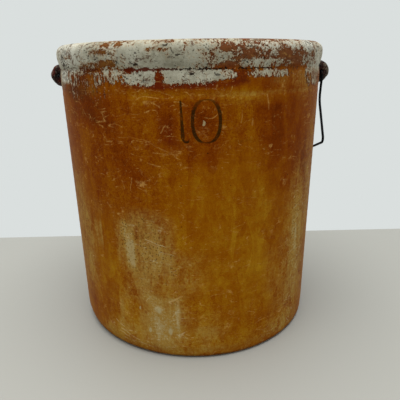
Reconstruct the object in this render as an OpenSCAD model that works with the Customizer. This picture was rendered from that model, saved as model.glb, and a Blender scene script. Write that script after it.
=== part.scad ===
// Stoneware storage crock with a rolled rim, two luted ears and one wire bail.
// Millimetres, +Z up. The origin is the centre of the base, and the ears lie along X.

/* [Crock] */
// Height from the table to the crest of the rim
crock_height = 417; // [360:1:480]
// Outer radius of the wall where its line meets the table
foot_radius = 184; // [172:0.5:200]
// Outer radius of the wall at the shoulder, below the groove
wall_radius = 190; // [178:0.5:206]
// Thickness of the wall just above the floor
wall_thickness = 15; // [10:0.5:22]
// Thickness of the floor
floor_thickness = 18; // [10:0.5:30]
// Rounding of the outside edge of the foot
foot_rounding = 6; // [2:0.5:12]
// Rounding of the inside corner between wall and floor
corner_rounding = 22; // [8:1:40]

/* [Rim] */
// Height of the rolled rim above its groove
rim_height = 31; // [26:0.5:38]
// How far the rim stands out past the wall
rim_proud = 2.5; // [1:0.1:4]
// How far the wall draws in to the groove under the rim
groove_depth = 1.3; // [0.6:0.1:3]
// Height of the shoulder that draws in to the groove
shoulder_height = 14; // [8:0.5:24]
// Rounding of the rim from its outer side to its crest
rim_outer_rounding = 11.5; // [9:0.5:16]
// Rounding of the rim from its crest to the inside
rim_inner_rounding = 7; // [4:0.5:10]

/* [Ears] */
// Length of an ear along the rim
ear_length = 42; // [34:1:56]
// Radius of the loaf that an ear is shaped from
ear_radius = 16; // [14:0.5:19]
// Rounding of the ends of an ear
ear_end_rounding = 9; // [4:0.5:10]
// How far the middle of that loaf lies outside the wall
ear_standoff = 2; // [0:0.25:5]
// How far the bore of an ear lies outside the wall
bore_standoff = 5; // [4.5:0.25:6]
// How far the bore of an ear lies below the crest of the rim
ear_drop = 40; // [34:0.5:60]

/* [Bail] */
// Diameter of the wire
wire_diameter = 3.8; // [2.5:0.1:4.6]
// Play between the wire and the bore, on the radius
bore_play = 0.7; // [0.4:0.05:1]
// Gap left under the wire where it rests in the bore
rest_gap = 0.3; // [0.2:0.05:0.35]
// Length of wire that lies in the bore at each end
hook_length = 15; // [8:1:16]
// Play between the end of the ear and the start of the hook's bend
side_play = 0.3; // [0.2:0.1:3]
// Bend radius of the hooks, on the wire's centre line
hook_bend = 4; // [3:0.25:8]
// Half width of the bail at its knees, where the legs are drawn in
knee_half_width = 19; // [12:0.5:26]
// Depth of the knees below the pivot
knee_depth = 40; // [30:0.5:50]
// Bend radius of the knees
knee_bend = 28; // [6:1:36]
// Half width of the bail at its elbows, to the corner of the two straight runs
elbow_half_width = 54.5; // [44:0.5:70]
// Depth of the elbows below the pivot
elbow_depth = 99; // [84:0.5:112]
// Bend radius of the elbows
elbow_bend = 7; // [3:0.5:12]
// Depth of the bottom of the bail below the pivot, to the corner of the two lower runs
bail_depth = 116.5; // [104:0.5:140]
// Bend radius at the bottom of the bail
bottom_bend = 12; // [4:1:30]
// How much thicker the wire is in its bends, where bending has spread it
bend_spread = 0.06; // [0.04:0.01:0.3]

/* [Hidden] */
$fn = 96;

// Heights and radii of the rim, from the crest downwards
rim_radius = wall_radius + rim_proud;
neck_radius = wall_radius - groove_depth;
crest_radius = rim_radius - rim_outer_rounding;
mouth_radius = crest_radius - rim_inner_rounding;
mouth_z = crock_height - rim_inner_rounding;
swell_z = crock_height - rim_outer_rounding;
groove_z = crock_height - rim_height;
shoulder_z = groove_z - shoulder_height;
wall_lean = atan((wall_radius - foot_radius) / shoulder_z);

// The middle and the bore of an ear, and the wire's centre where it rests in that bore
ear_x = wall_radius + ear_standoff;
bore_x = wall_radius + bore_standoff;
ear_z = crock_height - ear_drop;
bore_radius = wire_diameter / 2 + bore_play;
pivot_z = ear_z - bore_play + rest_gap;
bore_overrun = 1;
// Length that a straight run of the bail reaches into the bends at its ends
bend_overlap = 0.3;

// The bail's path from its lowest point up one leg and into the bore, seen along X
leg_y = ear_length / 2 + side_play + hook_bend;
half_path = [
    [elbow_half_width, -elbow_depth],
    [knee_half_width, -knee_depth],
    [leg_y, 0],
    [ear_length / 2 - hook_length, 0]
];
half_bends = [elbow_bend, knee_bend, hook_bend, 0];
half_count = len(half_path);
bail_path = [
    for (i = [half_count - 1 : -1 : 0]) [-half_path[i][0], half_path[i][1]],
    [0, -bail_depth],
    each half_path
];
bail_bends = [
    for (i = [half_count - 1 : -1 : 0]) half_bends[i],
    bottom_bend,
    each half_bends
];

// Radius of the arc that leaves point t square to the unit normal n and ends at point p
function arc_radius(t, n, p) = -((p - t) * (p - t)) / (2 * (p - t) * n);

function unit(v) = v / norm(v);
function heading(path, i) = unit(path[i + 1] - path[i]);
function cross_z(a, b) = a[0] * b[1] - a[1] * b[0];

// Signed turn of a path at an inner point, to the left where it is positive
function turn(path, i) = atan2(
    cross_z(heading(path, i - 1), heading(path, i)),
    heading(path, i - 1) * heading(path, i)
);

// Length that a bend takes off the straight runs on either side of its corner
function trim(path, bends, i) = bends[i] > 0 ? bends[i] * tan(abs(turn(path, i)) / 2) : 0;

// Half section of a tub: a leaning wall, with a rounded edge at its foot
module tub_section(foot_r, top_r, height, rounding) {
    lean = atan((top_r - foot_r) / height);
    center_r = foot_r - rounding * (1 - sin(lean)) / cos(lean);
    side = [center_r + rounding * cos(lean), rounding * (1 - sin(lean))];
    polygon([[0, 0], [center_r, 0], side, [top_r, height], [0, height]]);
    translate([center_r, rounding]) circle(rounding);
}

// Half section of a band whose outer side is the arc of arc_radius
module swell_section(t, n, p) {
    radius = arc_radius(t, n, p);
    intersection() {
        translate(t - radius * n) circle(radius);
        translate([0, min(t[1], p[1])]) square([max(t[0], p[0]), abs(p[1] - t[1])]);
    }
}

// Half section of the crock's outside, filled to the axis
module outside_section() {
    groove = [neck_radius, groove_z];
    tub_section(foot_radius, wall_radius, shoulder_z, foot_rounding);
    translate([0, shoulder_z]) square([neck_radius, swell_z - shoulder_z]);
    swell_section([wall_radius, shoulder_z], [cos(wall_lean), -sin(wall_lean)], groove);
    swell_section([rim_radius, swell_z], [1, 0], groove);
    translate([0, swell_z]) square([crest_radius, mouth_z - swell_z]);
    intersection() {
        translate([crest_radius, swell_z]) circle(rim_outer_rounding);
        translate([crest_radius, swell_z]) square(rim_outer_rounding);
    }
}

// Half section of the hollow, up to where the rim starts to round over
module hollow_section() {
    translate([0, floor_thickness])
        tub_section(foot_radius - wall_thickness, mouth_radius, mouth_z - floor_thickness, corner_rounding);
}

// Inner quarter of the rim's roll, from the crest down to the hollow
module rim_inside_section() {
    intersection() {
        translate([crest_radius, mouth_z]) circle(rim_inner_rounding);
        translate([mouth_radius, mouth_z]) square(rim_inner_rounding);
    }
}

// Half section of the loaf that an ear is cut from: a cylinder with rounded ends
module ear_section() {
    end_r = ear_radius - ear_end_rounding;
    end_y = ear_length / 2 - ear_end_rounding;
    translate([0, -ear_length / 2]) square([end_r, ear_length]);
    translate([0, -end_y]) square([ear_radius, 2 * end_y]);
    for (end = [-1, 1])
        translate([end_r, end * end_y]) intersection() {
            circle(ear_end_rounding);
            translate([0, min(0, end) * ear_end_rounding]) square(ear_end_rounding);
        }
}

// An ear with its bore along Y, cut to the crock's outside. The side is -1 for left, 1 for right.
module ear(side) {
    difference() {
        translate([side * ear_x, 0, ear_z]) rotate([90, 0, 0]) rotate_extrude() ear_section();
        rotate_extrude() outside_section();
        translate([side * bore_x, 0, ear_z]) rotate([90, 0, 0])
            cylinder(r = bore_radius, h = ear_length + 2 * bore_overrun, center = true);
    }
}

// A round wire along a flat path, with a true bend at each inner point
module bent_wire(path, bends, diameter, spread) {
    last = len(path) - 1;
    for (i = [0 : last - 1]) {
        along = heading(path, i);
        lead_in = trim(path, bends, i) - (i > 0 ? bend_overlap : 0);
        lead_out = trim(path, bends, i + 1) - (i + 1 < last ? bend_overlap : 0);
        run = norm(path[i + 1] - path[i]) - lead_in - lead_out;
        translate(path[i] + along * lead_in) rotate([0, 90, atan2(along[1], along[0])])
            cylinder(d = diameter, h = run);
    }
    for (i = [1 : last - 1]) {
        along = heading(path, i - 1);
        angle = turn(path, i);
        translate(path[i] - along * trim(path, bends, i))
            rotate(atan2(along[1], along[0]))
            mirror([0, angle < 0 ? 1 : 0, 0])
            translate([0, bends[i]])
            rotate(-90)
            rotate_extrude(angle = abs(angle))
            translate([bends[i], 0])
            circle(d = diameter + spread);
    }
}

module crock() {
    color([0.55, 0.38, 0.16]) rotate_extrude() {
        difference() {
            outside_section();
            hollow_section();
        }
        rim_inside_section();
    }
}

module left_ear() {
    color([0.16, 0.08, 0.05]) ear(-1);
}

module right_ear() {
    color([0.16, 0.08, 0.05]) ear(1);
}

module bail() {
    color([0.12, 0.11, 0.1]) translate([bore_x, 0, pivot_z]) rotate([90, 0, 90])
        bent_wire(bail_path, bail_bends, wire_diameter, bend_spread);
}

crock();
left_ear();
right_ear();
bail();
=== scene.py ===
import math

import bpy
import numpy as np
from mathutils import Matrix, Vector


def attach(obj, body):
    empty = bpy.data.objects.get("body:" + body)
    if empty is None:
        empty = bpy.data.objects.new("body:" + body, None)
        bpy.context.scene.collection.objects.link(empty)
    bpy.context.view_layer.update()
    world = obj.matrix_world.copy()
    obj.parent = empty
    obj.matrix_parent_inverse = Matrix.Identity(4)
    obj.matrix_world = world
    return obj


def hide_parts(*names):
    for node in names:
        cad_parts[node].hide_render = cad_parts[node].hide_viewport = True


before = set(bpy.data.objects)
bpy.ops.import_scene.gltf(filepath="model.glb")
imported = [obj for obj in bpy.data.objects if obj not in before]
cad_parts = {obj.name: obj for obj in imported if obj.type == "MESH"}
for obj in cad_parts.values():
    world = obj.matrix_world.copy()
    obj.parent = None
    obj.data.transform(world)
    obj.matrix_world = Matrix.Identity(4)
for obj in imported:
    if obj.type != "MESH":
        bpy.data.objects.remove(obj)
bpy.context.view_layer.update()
print("frame loaded:", sorted(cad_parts))

mm = 0.001


# colours are written as they look on screen, 0 to 255
def paint(red, green, blue):
    linear = []
    for part in (red, green, blue):
        part /= 255
        linear.append(part / 12.92 if part <= 0.04045 else ((part + 0.055) / 1.055) ** 2.4)
    return (*linear, 1.0)


# smooth steps and lattice noise for the meshes
def smoothStep(low, high, value):
    t = np.clip((value - low) / (high - low), 0, 1)
    return t * t * (3 - 2 * t)


def latticeNoise(points, size, seed, layers=3):
    side = 32
    rng = np.random.default_rng(seed)
    total, weight, sumWeight = 0, 1.0, 0.0
    for layer in range(layers):
        lattice = rng.random((side, side, side))
        at = points / size * 2 ** layer + 7.3 * layer
        cell = np.floor(at).astype(int)
        part = at - cell
        part = part * part * (3 - 2 * part)
        value = 0
        for corner in range(8):
            step = np.array([corner & 1, corner >> 1 & 1, corner >> 2 & 1])
            i, j, k = ((cell + step) % side).T
            share = np.prod(np.where(step, part, 1 - part), axis=1)
            value = value + share * lattice[i, j, k]
        total = total + weight * value
        sumWeight += weight
        weight *= 0.5
    return total / sumWeight


# small helpers for building a material's nodes
class Nodes:
    def __init__(self, name):
        self.material = bpy.data.materials.new(name)
        self.material.use_nodes = True
        self.tree = self.material.node_tree
        self.tree.nodes.clear()
        self.noises = {}
        self.shader = self.make("BsdfPrincipled")
        self.make("OutputMaterial", Surface=self.shader.outputs[0])

    def feed(self, socket, value):
        if isinstance(value, bpy.types.NodeSocket):
            self.tree.links.new(value, socket)
        else:
            socket.default_value = value

    # sockets go by their names, with _ for a space
    def fill(self, node, sockets):
        for name, value in sockets.items():
            self.feed(node.inputs[name.replace("_", " ")], value)
        return node

    def make(self, kind, **sockets):
        return self.fill(self.tree.nodes.new("ShaderNode" + kind), sockets)

    def finish(self, **sockets):
        self.fill(self.shader, sockets)
        return self.material

    def operate(self, kind, operation, values):
        node = self.make(kind)
        node.operation = operation
        for socket, value in zip(node.inputs, values):
            self.feed(socket, value)
        return node.outputs

    def math(self, operation, *values):
        return self.operate("Math", operation, values)[0]

    def vector(self, operation, *values):
        single = operation in ("DOT_PRODUCT", "DISTANCE")
        return self.operate("VectorMath", operation, values)["Value" if single else "Vector"]

    def add(self, total, *values):
        for value in values:
            total = self.math("ADD", total, value)
        return total

    def times(self, a, b):
        return self.math("MULTIPLY", a, b)

    def minus(self, a, b):
        return self.math("SUBTRACT", a, b)

    def most(self, total, *values):
        for value in values:
            total = self.math("MAXIMUM", total, value)
        return total

    def size(self, value):
        return self.math("ABSOLUTE", value)

    # a noise's swing about its middle
    def about(self, value, gain):
        return self.math("MULTIPLY_ADD", value, gain, -0.5 * gain)

    # swings of the shared noises by name, each with its gain, on top of what is given first
    def sway(self, *first, **gains):
        return self.add(*first, *(self.about(self.noises[name], gain) for name, gain in gains.items()))

    def step(self, value, low, high, start=0.0, end=1.0):
        node = self.make("MapRange", Value=value, From_Min=low, From_Max=high, To_Min=start, To_Max=end)
        node.interpolation_type = "SMOOTHSTEP"
        return node.outputs["Result"]

    def mix(self, amount, a, b):
        node = self.make("Mix")
        node.data_type = "RGBA"
        for index, value in ((0, amount), (6, a), (7, b)):  # 6 and 7 are its two colours
            self.feed(node.inputs[index], value)
        return node.outputs[2]

    def blend(self, amount, a, b):
        return self.add(a, self.times(amount, self.minus(b, a)))

    def ramp(self, value, stops):
        node = self.make("ValToRGB", Fac=value)
        points = node.color_ramp.elements
        for _ in stops[2:]:
            points.new(0.5)
        for point, (at, colour) in zip(points, stops):
            point.position = at
            point.color = colour
        return node.outputs[0]

    # thin wandering lines where a noise crosses its middle
    def hairline(self, value, width):
        return self.step(self.size(self.minus(value, 0.5)), self.times(width, 0.4), width, 1.0, 0.0)

    def place(self):
        return self.make("TexCoord").outputs["Object"]

    def stretch(self, vector, scale, turn=(0, 0, 0), move=(0, 0, 0)):
        return self.make("Mapping", Vector=vector, Scale=scale, Rotation=turn, Location=move).outputs[0]

    def noise(self, vector, scale, detail=4.0, rough=0.6, warp=0.0):
        node = self.make("TexNoise", Vector=vector, Scale=scale, Detail=detail, Roughness=rough,
                         Distortion=warp)
        return node.outputs["Fac"]

    # cells about scattered points: how far the point is, and random shades for each cell
    def cells(self, vector, scale):
        found = self.make("TexVoronoi", Vector=vector, Scale=scale).outputs
        return found["Distance"], self.make("SeparateColor", Color=found["Color"]).outputs

    # scattered dots: a share of the cells hold one, from small to large
    def dots(self, vector, scale, share, small, large, ragged):
        away, shades = self.cells(vector, scale)
        reach = self.step(shades[1], 0.0, 1.0, small, large)
        dot = self.step(self.minus(self.add(away, ragged), reach), -0.03, 0.03, 1.0, 0.0)
        return self.times(dot, self.step(shades[0], 1 - share - 0.005, 1 - share + 0.005))

    # flat patches, each of one random shade
    def patches(self, vector, scale):
        return self.cells(vector, scale)[1][0]

    # the same place, moved about a little
    def wander(self, vector, scale, reach):
        noise = self.make("TexNoise", Vector=vector, Scale=scale).outputs["Color"]
        shift = self.vector("SUBTRACT", noise, (0.5, 0.5, 0.5))
        return self.vector("ADD", vector, self.vector("MULTIPLY", shift, (reach, reach, 0)))

    # one scratch between two points of a flat sheet, in millimetres
    def stroke(self, vector, start, end, half, amount, ragged):
        run = Vector((end[0] - start[0], end[1] - start[1], 0)) * mm
        off = self.vector("SUBTRACT", vector, (start[0] * mm, start[1] * mm, 0))
        share = self.times(self.vector("DOT_PRODUCT", off, run), 1 / run.length_squared)
        share = self.math("MINIMUM", self.most(share, 0.0), 1.0)
        near = self.vector("MULTIPLY", self.make("CombineXYZ", X=share, Y=share).outputs[0], run)
        away = self.times(self.vector("DISTANCE", off, near), 1 / mm)
        return self.step(self.add(away, self.times(ragged, half)), 0.5 * half, 1.3 * half, amount, 0.0)

    # a wear table's values, held by the mesh
    def field(self, name):
        node = self.make("Attribute")
        node.attribute_name = name
        return node.outputs["Fac"]

    def bump(self, height, distance, strength):
        return self.make("Bump", Height=height, Distance=distance, Strength=strength).outputs[0]


# quads between rings of points, and flat ends where the run of rings is closed
def ringFaces(rings, around, closed=False):
    faces = []
    for row in range(rings - 1):
        low, high = row * around, (row + 1) * around
        for i in range(around):
            j = (i + 1) % around
            faces.append((low + i, low + j, high + j, high + i))
    if closed:
        last = (rings - 1) * around
        faces += [tuple(range(around))[::-1], tuple(range(last, last + around))]
    return faces


def newObject(name, data):
    made = bpy.data.objects.new(name, data)
    bpy.context.scene.collection.objects.link(made)
    return made


def newPiece(name, points, faces, material, body, node):
    mesh = bpy.data.meshes.new(name)
    mesh.from_pydata([tuple(p) for p in points], [], faces)
    mesh.validate()
    mesh.polygons.foreach_set("use_smooth", [True] * len(mesh.polygons))
    piece = newObject(name, mesh)
    mesh.materials.append(material)
    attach(piece, body)
    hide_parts(node)
    return piece


# the crock's section in millimetres, as the solid has it, and how finely and unevenly its skin is made
crockShape = {
    "height": 417, "footRadius": 184, "wallRadius": 190, "wallThickness": 15, "floorThickness": 18,
    "footRounding": 6, "cornerRounding": 22, "rimHeight": 31, "rimProud": 2.5, "grooveDepth": 1.3,
    "shoulderHeight": 14, "rimOuterRounding": 11.5, "rimInnerRounding": 7,
    "around": 400, "footStep": 1.2, "wallStep": 2.7, "rimStep": 1.9, "insideStep": 9.0, "cornerStep": 4.0,
    "flatStep": 14.0,
    "wobble": 0.45, "wobbleSize": 130, "turningLines": 0.06, "lineGap": 1.9, "lineWander": 90,
    "ledgeHeight": 357, "ledgeDepth": 0.4, "ledgeEdge": (0.5, 2.5), "evenFoot": 12,
    "footWear": 1.2, "footWearHeight": 26, "footChip": (-52, 62, 5.2), "footChipEdge": (0.2, 1.3),
}


def arcPoints(center, radius, start, end, step):
    count = max(2, int(abs(math.radians(end - start)) * radius / step))
    angles = np.radians(np.linspace(start, end, count + 1))
    return [(center[0] + radius * math.cos(a), center[1] + radius * math.sin(a)) for a in angles]


def linePoints(start, end, step):
    count = max(1, round(math.dist(start, end) / step))
    return [tuple(np.add(start, np.subtract(end, start) * i / count)) for i in range(count + 1)]


# arc that leaves one point square to a normal and ends at another
def swellPoints(tangent, normal, end, step):
    chord = np.subtract(end, tangent)
    radius = -chord.dot(chord) / (2 * chord.dot(normal))
    center = np.subtract(tangent, np.multiply(normal, radius))
    first, last = (math.degrees(math.atan2(*np.subtract(p, center)[::-1])) for p in (tangent, end))
    return arcPoints(center, radius, first, last, step)


def crockSection(shape):
    s = shape
    grooveZ = s["height"] - s["rimHeight"]
    shoulderZ = grooveZ - s["shoulderHeight"]
    lean = math.atan((s["wallRadius"] - s["footRadius"]) / shoulderZ)
    rimRadius = s["wallRadius"] + s["rimProud"]
    crestRadius = rimRadius - s["rimOuterRounding"]
    mouthRadius = crestRadius - s["rimInnerRounding"]
    swellZ, mouthZ = s["height"] - s["rimOuterRounding"], s["height"] - s["rimInnerRounding"]
    groove = (s["wallRadius"] - s["grooveDepth"], grooveZ)
    normal = (math.cos(lean), -math.sin(lean))
    foot = s["footRounding"]
    footCenter = (s["footRadius"] - foot * (1 - math.sin(lean)) / math.cos(lean), foot)
    innerFoot = s["footRadius"] - s["wallThickness"]
    innerLean = math.atan((mouthRadius - innerFoot) / (mouthZ - s["floorThickness"]))
    corner = s["cornerRounding"]
    cornerRadius = innerFoot - corner * (1 - math.sin(innerLean)) / math.cos(innerLean)
    cornerCenter = (cornerRadius, s["floorThickness"] + corner)
    footArc = arcPoints(footCenter, foot, -90, -math.degrees(lean), s["footStep"])
    outerRoll = arcPoints((crestRadius, swellZ), s["rimOuterRounding"], 0, 90, s["rimStep"])
    innerRoll = arcPoints((crestRadius, mouthZ), s["rimInnerRounding"], 90, 180, s["rimStep"])
    cornerArc = arcPoints(cornerCenter, corner, -math.degrees(innerLean), -90, s["cornerStep"])
    bottom = linePoints((0, 0), footArc[0], s["flatStep"])
    wall = linePoints(footArc[-1], (s["wallRadius"], shoulderZ), s["wallStep"])
    shoulder = swellPoints((s["wallRadius"], shoulderZ), normal, groove, s["rimStep"])
    rim = swellPoints((rimRadius, swellZ), (1, 0), groove, s["rimStep"])[::-1]
    inside = linePoints(innerRoll[-1], cornerArc[0], s["insideStep"])
    floor = linePoints(cornerArc[-1], (0, s["floorThickness"]), s["flatStep"])[:-1]
    rows, zones = [], []
    runs = [("under", bottom), ("foot", footArc), ("wall", wall), ("wall", shoulder), ("rim", rim),
            ("rim", outerRoll), ("rim", innerRoll), ("inside", inside), ("inside", cornerArc),
            ("inside", floor)]
    for zone, run in runs:
        rows += run[1:]
        zones += [zone] * (len(run) - 1)
    return np.array(rows), zones


# worn places: degrees round from the front, height, half width, half height and amount
crockWear = {
    # the pale flaking coat, from the left end of the rim to the right
    "pale": [
        (-62, 402, 39, 19, 1.2), (-8.5, 402, 15, 19, 1.2), (-30.5, 412, 2.7, 3, -0.5),
        (-24.8, 412, 1.8, 2.8, -0.55), (-33.5, 404.5, 4.8, 3.4, -0.82), (-9.5, 414, 4.4, 2.6, -0.7),
        (-10.8, 406.6, 4.4, 2.7, -0.9), (-30, 393, 3.6, 3.6, -0.76), (-18.7, 410.5, 3.2, 3, -0.42),
        (-54, 400.5, 4, 2.8, -0.7), (-39, 388.6, 7.4, 6.4, -0.7), (-1.6, 410, 0.7, 6, -0.8),
        (10, 409, 2.6, 6, -0.16), (4.5, 403.6, 3.2, 3, -0.55), (7.2, 406.5, 3, 5, 0.55),
        (12.4, 390, 1.4, 4.8, -0.7), (11, 396.5, 3.4, 6, 0.6), (16.2, 404, 1.4, 4.5, 0.36),
        (19.7, 411, 1.6, 3.4, 0.4), (23.3, 408, 1.8, 2.8, 0.36), (28.4, 405, 3.8, 7.5, 0.42),
        (23.5, 390.6, 5.6, 4.6, 0.75), (33.6, 391, 5, 4.4, 0.36), (38.2, 411.7, 4.6, 5.4, 0.4),
        (45, 410, 4, 6, 0.3), (49.5, 410, 4.5, 7, 0.76), (36.2, 399, 5, 5, -0.1),
        (41.5, 402.5, 3, 4, 0.18), (48.5, 394, 3.5, 8, 0.26), (27.5, 410, 4, 5, 0.28),
        (54, 402, 5, 17, 0.34), (62, 400, 7, 19, 0.5), (28, 402, 22, 18, 0.17), (12, 413, 5, 4, 0.36),
        (30, 416, 24, 4, 0.2), (80, 402, 18, 19, 1.1),
        # the band under the groove and its drips
        (-17.5, 377.5, 6.6, 8.4, 1.1), (-20.5, 370.5, 3, 4, -0.3), (-29.5, 378, 4.6, 8, 0.42),
        (-1, 377.6, 9, 7.4, 1.1), (11, 379.6, 4.6, 6, 0.8), (-11, 377, 1.1, 10, -0.75),
        (-21.5, 384, 1.9, 3.6, -0.8), (29.5, 379.5, 9.2, 4.8, 0.6), (17.5, 377, 3.2, 9, 0.02),
        (-6, 366, 24, 7, 0.11), (-58, 380, 9, 11, 0.74), (-33, 377, 4.5, 9, 0.12),
        (-26.6, 382, 2, 4, 0.3), (-48.5, 373, 2.4, 8, 0.2), (-41, 378, 7, 10, 0.2),
        (-51.2, 378, 1, 7.5, -0.5), (-55.4, 382, 1, 6, -0.5), (-50.5, 359, 3, 13, 0.24),
        (-67, 376, 7, 18, 0.4), (-38, 360, 9, 12, 0.14), (54, 376, 4.4, 15, 0.4), (64, 378, 6, 18, 0.45),
        (45, 378, 6, 8, 0.12),
        # round the back
        (116, 400, 20, 20, 0.8), (162, 402, 28, 19, 1.2), (-126, 402, 26, 19, 1.2),
        (-166, 396, 16, 14, 0.45), (132, 376, 22, 9, 1.1), (-128, 376, 18, 9, 1.1),
        (176, 378, 16, 8, 0.7), (-98, 374, 14, 16, 0.5), (92, 374, 14, 16, 0.5), (168, 365, 40, 9, 0.16),
        (-130, 365, 30, 9, 0.16), (150, 410, 5, 4, -0.9), (172, 404, 4, 6, -0.8), (-120, 408, 6, 3, -1.0),
        (-140, 392, 4, 5, -0.9), (140, 376, 2, 9, -0.8),
    ],
    # where the coat is thick and white
    "chalk": [
        (-66, 405, 24, 16, 0.7), (68, 402, 22, 18, 0.6), (-20, 377, 7, 7, 0.1), (-58, 377, 9, 9, 0.8),
        (-23, 399, 7, 8, 0.2), (30, 406, 14, 12, 0.5), (49, 410, 6, 7, 0.4), (150, 404, 40, 16, 0.3),
        (-140, 404, 40, 16, 0.3),
    ],
    # pale glaze rubbed bare, with a hard edge
    "rub": [
        (-27, 166, 2.4, 33, 0.42), (-26.4, 156, 1.8, 24, 0.3), (-29.6, 190, 1.6, 12, 0.3),
        (-15.9, 78, 1.6, 3.6, 0.5), (-8.4, 95, 3, 2, 0.4), (-7.4, 64, 0.9, 30, 0.36),
        (-33.8, 64, 1.5, 18, 0.24), (-17, 88, 4, 8, 0.2), (-42.4, 174, 0.8, 24, 0.35),
        (-20, 60, 5, 12, 0.2), (-12, 52, 4, 9, 0.2), (51, 150, 0.9, 22, 0.4), (48, 168, 0.8, 10, 0.35),
        (4, 40, 5, 14, 0.16), (130, 130, 3, 30, 0.4), (-150, 170, 2, 24, 0.4),
    ],
    # dirt along the groove
    "seam": [
        (-15.5, 385, 8.5, 9, 1.0), (-21.5, 384, 2, 6, 0.5), (3, 386.5, 11, 9, 0.62), (23, 385, 9, 8, 0.6),
        (-40, 387, 8, 9, 0.5), (-62, 386, 14, 8, 0.25), (50, 386, 12, 8, 0.2), (180, 386, 110, 8, 0.4),
    ],
}
crockTone = {
    # yellower where positive, redder where negative
    "ochre": [
        (12, 200, 22, 130, 0.2), (4, 185, 12, 26, 0.16), (2, 60, 7, 36, 0.14), (31, 68, 6, 18, 0.14),
        (19.5, 171, 6, 16, 0.14), (-18.5, 258, 5, 14, -0.14), (24, 112, 5, 14, -0.12),
        (14.5, 37, 6, 12, -0.12), (-30.5, 317, 5, 12, -0.1), (52, 250, 10, 40, -0.14),
        (3, 132, 8, 30, 0.12), (-9, 180, 6, 20, 0.12), (-43, 128, 6, 22, -0.1), (2, 100, 6, 30, 0.1),
        (-4, 70, 40, 80, 0.16), (20, 357, 8, 10, 0.24), (-17, 356, 10, 8, 0.14), (-18, 322, 7, 16, 0.12),
        (24, 325, 8, 22, 0.06), (3, 358, 20, 7, 0.17), (36, 130, 26, 120, 0.06),
        (-32, 300, 22, 50, -0.09), (36, 318, 18, 46, -0.15), (2, 296, 12, 20, -0.12),
        (-9, 325, 4, 22, -0.16), (5, 328, 5, 16, -0.2), (-6, 262, 6, 24, -0.06), (9, 265, 6, 22, -0.12),
        (13, 306, 8, 28, -0.14), (11, 242, 6, 18, -0.1), (31, 352, 7, 10, 0.26),
        (-55, 220, 14, 120, 0.04), (-5, 230, 18, 40, 0.1), (0, 24, 90, 26, 0.18), (-38, 90, 16, 90, 0.17),
        (-38, 338, 9, 24, -0.22), (40, 165, 18, 90, 0.14), (24, 40, 18, 40, 0.04),
        (150, 200, 40, 120, 0.25), (-140, 120, 40, 100, 0.25), (95, 250, 26, 90, -0.1),
        (-100, 300, 26, 70, -0.1),
    ],
    # pale glaze rubbed through the film, and near both edges partly a painted grazing reflection
    "scuffAndSheen": [
        (-26.6, 166, 3.4, 36, 0.3), (-31.4, 168, 2.8, 36, 0.4), (-17, 168, 10, 46, 0.46),
        (-22, 208, 9, 16, 0.2), (-13, 60, 11, 44, 0.28), (-41, 370, 8, 18, 0.12), (42.5, 155, 5, 16, 0.1),
        (-43, 22, 6, 10, 0.12), (-16, 50, 5, 30, 0.16), (-8, 72, 4, 24, 0.16), (-15.4, 76, 2, 5, 0.3),
        (-45, 172, 3, 26, 0.3), (-53, 150, 5, 60, 0.2), (0, 45, 18, 40, 0.2), (-8, 10, 40, 12, 0.16),
        (-43, 212, 5, 14, 0.15), (-8, 130, 16, 40, 0.26), (51, 160, 5, 56, 0.22), (20, 352, 14, 10, 0.1),
        # the thin line at 357.5 mm, along the ledge, is a painted highlight on its step
        (28, 357.5, 34, 3.6, 0.16), (40, 374, 16, 12, 0.22), (52, 362, 10, 20, 0.14),
        # the broad patches at 58, -64 and 66 degrees, near both edges, are partly dust and partly a painted
        # grazing reflection
        (54, 130, 8, 60, 0.14), (40, 182, 14, 66, 0.1), (58, 150, 16, 150, 0.34),
        (-64, 160, 16, 130, 0.32), (66, 260, 12, 90, 0.16), (-28, 28, 20, 22, 0.26),
        (40, 20, 20, 18, 0.24), (22, 240, 4, 40, 0.06), (-24, 110, 9, 30, 0.24), (43, 78, 12, 70, 0.2),
        (-36, 64, 12, 50, 0.16), (140, 120, 16, 60, 0.4), (-150, 180, 12, 70, 0.4),
        (-110, 80, 20, 40, 0.32), (100, 60, 18, 40, 0.32),
    ],
    # darker places: mostly stains, and painted shade under the rim's roll and a painted contact shadow
    # round the foot
    "dark": [
        # the entry at 390 mm is painted shade on the rim's lower roll, which faces down
        (17.5, 376, 3.6, 10, 0.3), (-2.5, 390, 14, 7, 0.48), (-44, 386, 14, 5, 0.5),
        (-40, 376, 12, 12, 0.2), (-52, 368, 16, 18, 0.42), (-47, 340, 14, 24, 0.36),
        (-33, 326, 10, 30, 0.14), (-26.5, 350, 6, 8, 0.16), (21, 303, 8, 3, 0.2), (38, 300, 12, 40, 0.1),
        # the entry at 3 mm, all the way round, is a painted contact shadow at the foot
        (0, 3, 400, 5, 0.45), (30, 372, 12, 4, 0.2), (38, 386, 10, 4, 0.4), (22, 385, 8, 4, 0.3),
    ],
    # dark red, strongest under the band
    "red": [
        (-6, 369, 25, 5, 0.5), (-8, 365, 22, 9, 0.3), (-11, 376, 2.4, 12, 0.7), (17.5, 376, 4, 11, 0.6),
        (30, 371, 10, 5, 0.3), (-19, 384, 6, 5, 0.8), (13, 390, 3, 7, 0.6), (20, 406, 5, 8, 0.35),
        (31, 396, 4, 8, 0.3), (-9, 322, 4, 20, 0.4), (-6, 301, 5, 9, 0.46), (0, 288, 8, 8, 0.1),
        (5, 328, 4, 14, 0.2), (-40, 372, 8, 10, 0.2), (150, 366, 40, 8, 0.4), (-120, 364, 40, 8, 0.4),
    ],
    # where scratches are thick
    "marked": [
        (-26, 320, 30, 60, 0.8), (8, 330, 24, 40, 0.6), (-26, 235, 22, 30, 0.5), (-20, 150, 18, 60, 0.6),
        (-14, 50, 26, 50, 0.9), (40, 30, 26, 30, 0.5), (60, 330, 10, 60, 0.8), (52, 160, 8, 60, 0.9),
        (-48, 335, 14, 40, 0.7), (120, 260, 40, 90, 0.5), (-140, 250, 40, 90, 0.6),
        (180, 60, 60, 50, 0.6),
    ],
}
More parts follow.
